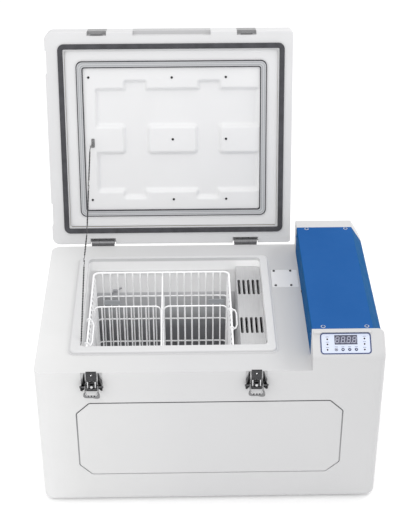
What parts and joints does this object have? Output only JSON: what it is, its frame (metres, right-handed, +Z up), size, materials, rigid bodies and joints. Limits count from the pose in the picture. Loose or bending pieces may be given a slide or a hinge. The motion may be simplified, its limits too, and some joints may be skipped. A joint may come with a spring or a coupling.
{
  "type": "vaccine carrier",
  "caption": "Wheelless compressor-cooled vaccine carrier, lid open, with a wire basket, draw latches, lid-stay chain and a raised machine hump.",
  "frame": {"origin": "centre of the bounding box's bottom face, on the floor", "axes": "+X towards the object's right with the machine hump, +Y towards the back, +Z up"},
  "size_m": [0.757, 0.7367, 0.8802],
  "materials": {
    "moulded_white": "satin",
    "foot_rubber": "satin",
    "foam": "satin",
    "liner_grey": "satin",
    "collar_white": "satin",
    "cover_blue": "satin",
    "screw_steel": "satin",
    "fascia_film": "satin",
    "board": "satin",
    "display": "satin",
    "led_lens": "satin",
    "duct_steel": "satin",
    "coil": "satin",
    "fan_black": "satin",
    "probe": "satin",
    "zinc": "satin",
    "compressor_black": "satin",
    "copper": "satin",
    "grille_grey": "satin",
    "inlet_black": "satin",
    "latch_steel": "satin",
    "seal_rubber": "satin",
    "seal_grey": "satin",
    "basket_coat": "satin",
    "tag_grey": "satin",
    "chain_steel": "satin",
    "button_blue": "satin"
  },
  "bodies": {
    "cabinet": {"cabinet_shell": "moulded_white", "cabinet_feet": "foot_rubber", "cabinet_insulation": "foam", "liner_tub": "liner_grey", "opening_collar": "collar_white", "machine_cover": "cover_blue", "deck_plate": "collar_white", "cabinet_screws": "screw_steel", "control_fascia": "fascia_film", "control_board": "board", "display_module": "display", "indicator_leds": "led_lens", "duct_cover": "duct_steel", "evaporator": "coil", "evaporator_fan_frame": "fan_black", "temperature_probe": "probe", "machine_tray": "zinc", "compressor_grommets": "foot_rubber", "compressor": "compressor_black", "condenser": "coil", "condenser_fan_shroud": "fan_black", "filter_drier": "copper", "refrigerant_tubes": "copper", "power_supply": "zinc", "vent_grilles": "grille_grey", "power_inlet": "inlet_black", "latch_bases": "latch_steel", "latch_pivot_pins": "latch_steel", "cabinet_hinge_leaves": "latch_steel", "hinge_pins": "latch_steel", "chain_anchor": "latch_steel"},
    "lid": {"lid_shell": "moulded_white", "lid_insulation": "foam", "lid_inner_panel": "collar_white", "lid_gasket": "seal_rubber", "lid_inner_seal": "seal_grey", "lid_panel_screws": "screw_steel", "latch_keepers": "latch_steel", "chain_hook": "latch_steel", "lid_hinge_leaves": "latch_steel"},
    "lever_left": {"latch_lever_left": "latch_steel"},
    "lever_right": {"latch_lever_right": "latch_steel"},
    "claw_left": {"latch_claw_left": "latch_steel"},
    "claw_right": {"latch_claw_right": "latch_steel"},
    "basket": {"basket_rim": "basket_coat", "basket_walls": "basket_coat", "basket_dividers": "basket_coat", "basket_tags": "tag_grey"},
    "handle_left": {"basket_handle_left": "basket_coat"},
    "handle_right": {"basket_handle_right": "basket_coat"},
    "evap_rotor": {"evaporator_fan_rotor": "fan_black"},
    "cond_rotor": {"condenser_fan_rotor": "fan_black"},
    "chain_1": {"chain_link_1": "chain_steel"},
    "chain_2": {"chain_link_2": "chain_steel"},
    "chain_3": {"chain_link_3": "chain_steel"},
    "chain_4": {"chain_link_4": "chain_steel"},
    "btn_mute": {"button_mute": "button_blue"},
    "btn_set": {"button_set": "button_blue"},
    "btn_down": {"button_down": "button_blue"},
    "btn_up": {"button_up": "button_blue"}
  },
  "joints": [
    {"name": "lid_hinge", "type": "hinge", "parent": "cabinet", "child": "lid", "pos_m": [-0.0775, 0.16998, 0.3788], "axis": [-1, 0, 0], "range_deg": [-105.3, 0]},
    {"name": "chain_pin_1", "type": "hinge", "parent": "cabinet", "child": "chain_1", "pos_m": [-0.2815, -0.25222, 0.376], "axis": [-1, 0, 0], "range_deg": [0, 47.02]},
    {"name": "chain_pin_2", "type": "hinge", "parent": "chain_1", "child": "chain_2", "pos_m": [-0.2815, -0.05607, 0.47394], "axis": [-1, 0, 0], "range_deg": [-111.91, 0]},
    {"name": "chain_pin_3", "type": "hinge", "parent": "chain_2", "child": "chain_3", "pos_m": [-0.2775, 0.01749, 0.51067], "axis": [-1, 0, 0], "range_deg": [-166.97, 0]},
    {"name": "chain_pin_4", "type": "hinge", "parent": "chain_3", "child": "chain_4", "pos_m": [-0.2775, 0.12882, 0.56626], "axis": [-1, 0, 0], "range_deg": [0, 167.52]},
    {"name": "lever_left_pivot", "type": "hinge", "parent": "cabinet", "child": "lever_left", "pos_m": [-0.2545, -0.35472, 0.346], "axis": [-1, 0, 0], "range_deg": [0, 85]},
    {"name": "claw_left_pivot", "type": "hinge", "parent": "lever_left", "child": "claw_left", "pos_m": [-0.2545, -0.35022, 0.3355], "axis": [1, 0, 0], "range_deg": [0, 89.5]},
    {"name": "lever_right_pivot", "type": "hinge", "parent": "cabinet", "child": "lever_right", "pos_m": [0.1, -0.35472, 0.346], "axis": [-1, 0, 0], "range_deg": [0, 85]},
    {"name": "claw_right_pivot", "type": "hinge", "parent": "lever_right", "child": "claw_right", "pos_m": [0.1, -0.35022, 0.3355], "axis": [1, 0, 0], "range_deg": [0, 89.5]},
    {"name": "basket_lift", "type": "slide", "parent": "cabinet", "child": "basket", "axis": [0, 0, 1], "range_m": [0, 0.3]},
    {"name": "handle_left_pivot", "type": "hinge", "parent": "basket", "child": "handle_left", "pos_m": [-0.2733, -0.10372, 0.346], "axis": [0, -1, 0], "range_deg": [0, 120]},
    {"name": "handle_right_pivot", "type": "hinge", "parent": "basket", "child": "handle_right", "pos_m": [0.0547, -0.10372, 0.346], "axis": [0, -1, 0], "range_deg": [0, 150]},
    {"name": "evap_fan_spin", "type": "hinge", "parent": "cabinet", "child": "evap_rotor", "pos_m": [0.083, -0.04372, 0.236], "axis": [1, 0, 0], "continuous": true},
    {"name": "cond_fan_spin", "type": "hinge", "parent": "cabinet", "child": "cond_rotor", "pos_m": [0.2985, -0.23572, 0.15], "axis": [0, 1, 0], "continuous": true},
    {"name": "press_mute", "type": "slide", "parent": "cabinet", "child": "btn_mute", "axis": [0, 0.5784, -0.8157], "range_m": [0, 0.0004], "stiffness_N_per_m": 300, "springref_m": -0.0004},
    {"name": "press_set", "type": "slide", "parent": "cabinet", "child": "btn_set", "axis": [0, 0.5784, -0.8157], "range_m": [0, 0.0004], "stiffness_N_per_m": 300, "springref_m": -0.0004},
    {"name": "press_down", "type": "slide", "parent": "cabinet", "child": "btn_down", "axis": [0, 0.5784, -0.8157], "range_m": [0, 0.0004], "stiffness_N_per_m": 300, "springref_m": -0.0004},
    {"name": "press_up", "type": "slide", "parent": "cabinet", "child": "btn_up", "axis": [0, 0.5784, -0.8157], "range_m": [0, 0.0004], "stiffness_N_per_m": 300, "springref_m": -0.0004}
  ],
  "couplings": [
    {"joint": "chain_pin_1", "follows": "lid_hinge", "ratio": -0.44464},
    {"joint": "chain_pin_2", "follows": "lid_hinge", "ratio": 1.0609},
    {"joint": "chain_pin_3", "follows": "lid_hinge", "ratio": 1.5838},
    {"joint": "chain_pin_4", "follows": "lid_hinge", "ratio": -1.589},
    {"joint": "claw_left_pivot", "follows": "lever_left_pivot", "ratio": 1.05},
    {"joint": "claw_right_pivot", "follows": "lever_right_pivot", "ratio": 1.05}
  ]
}
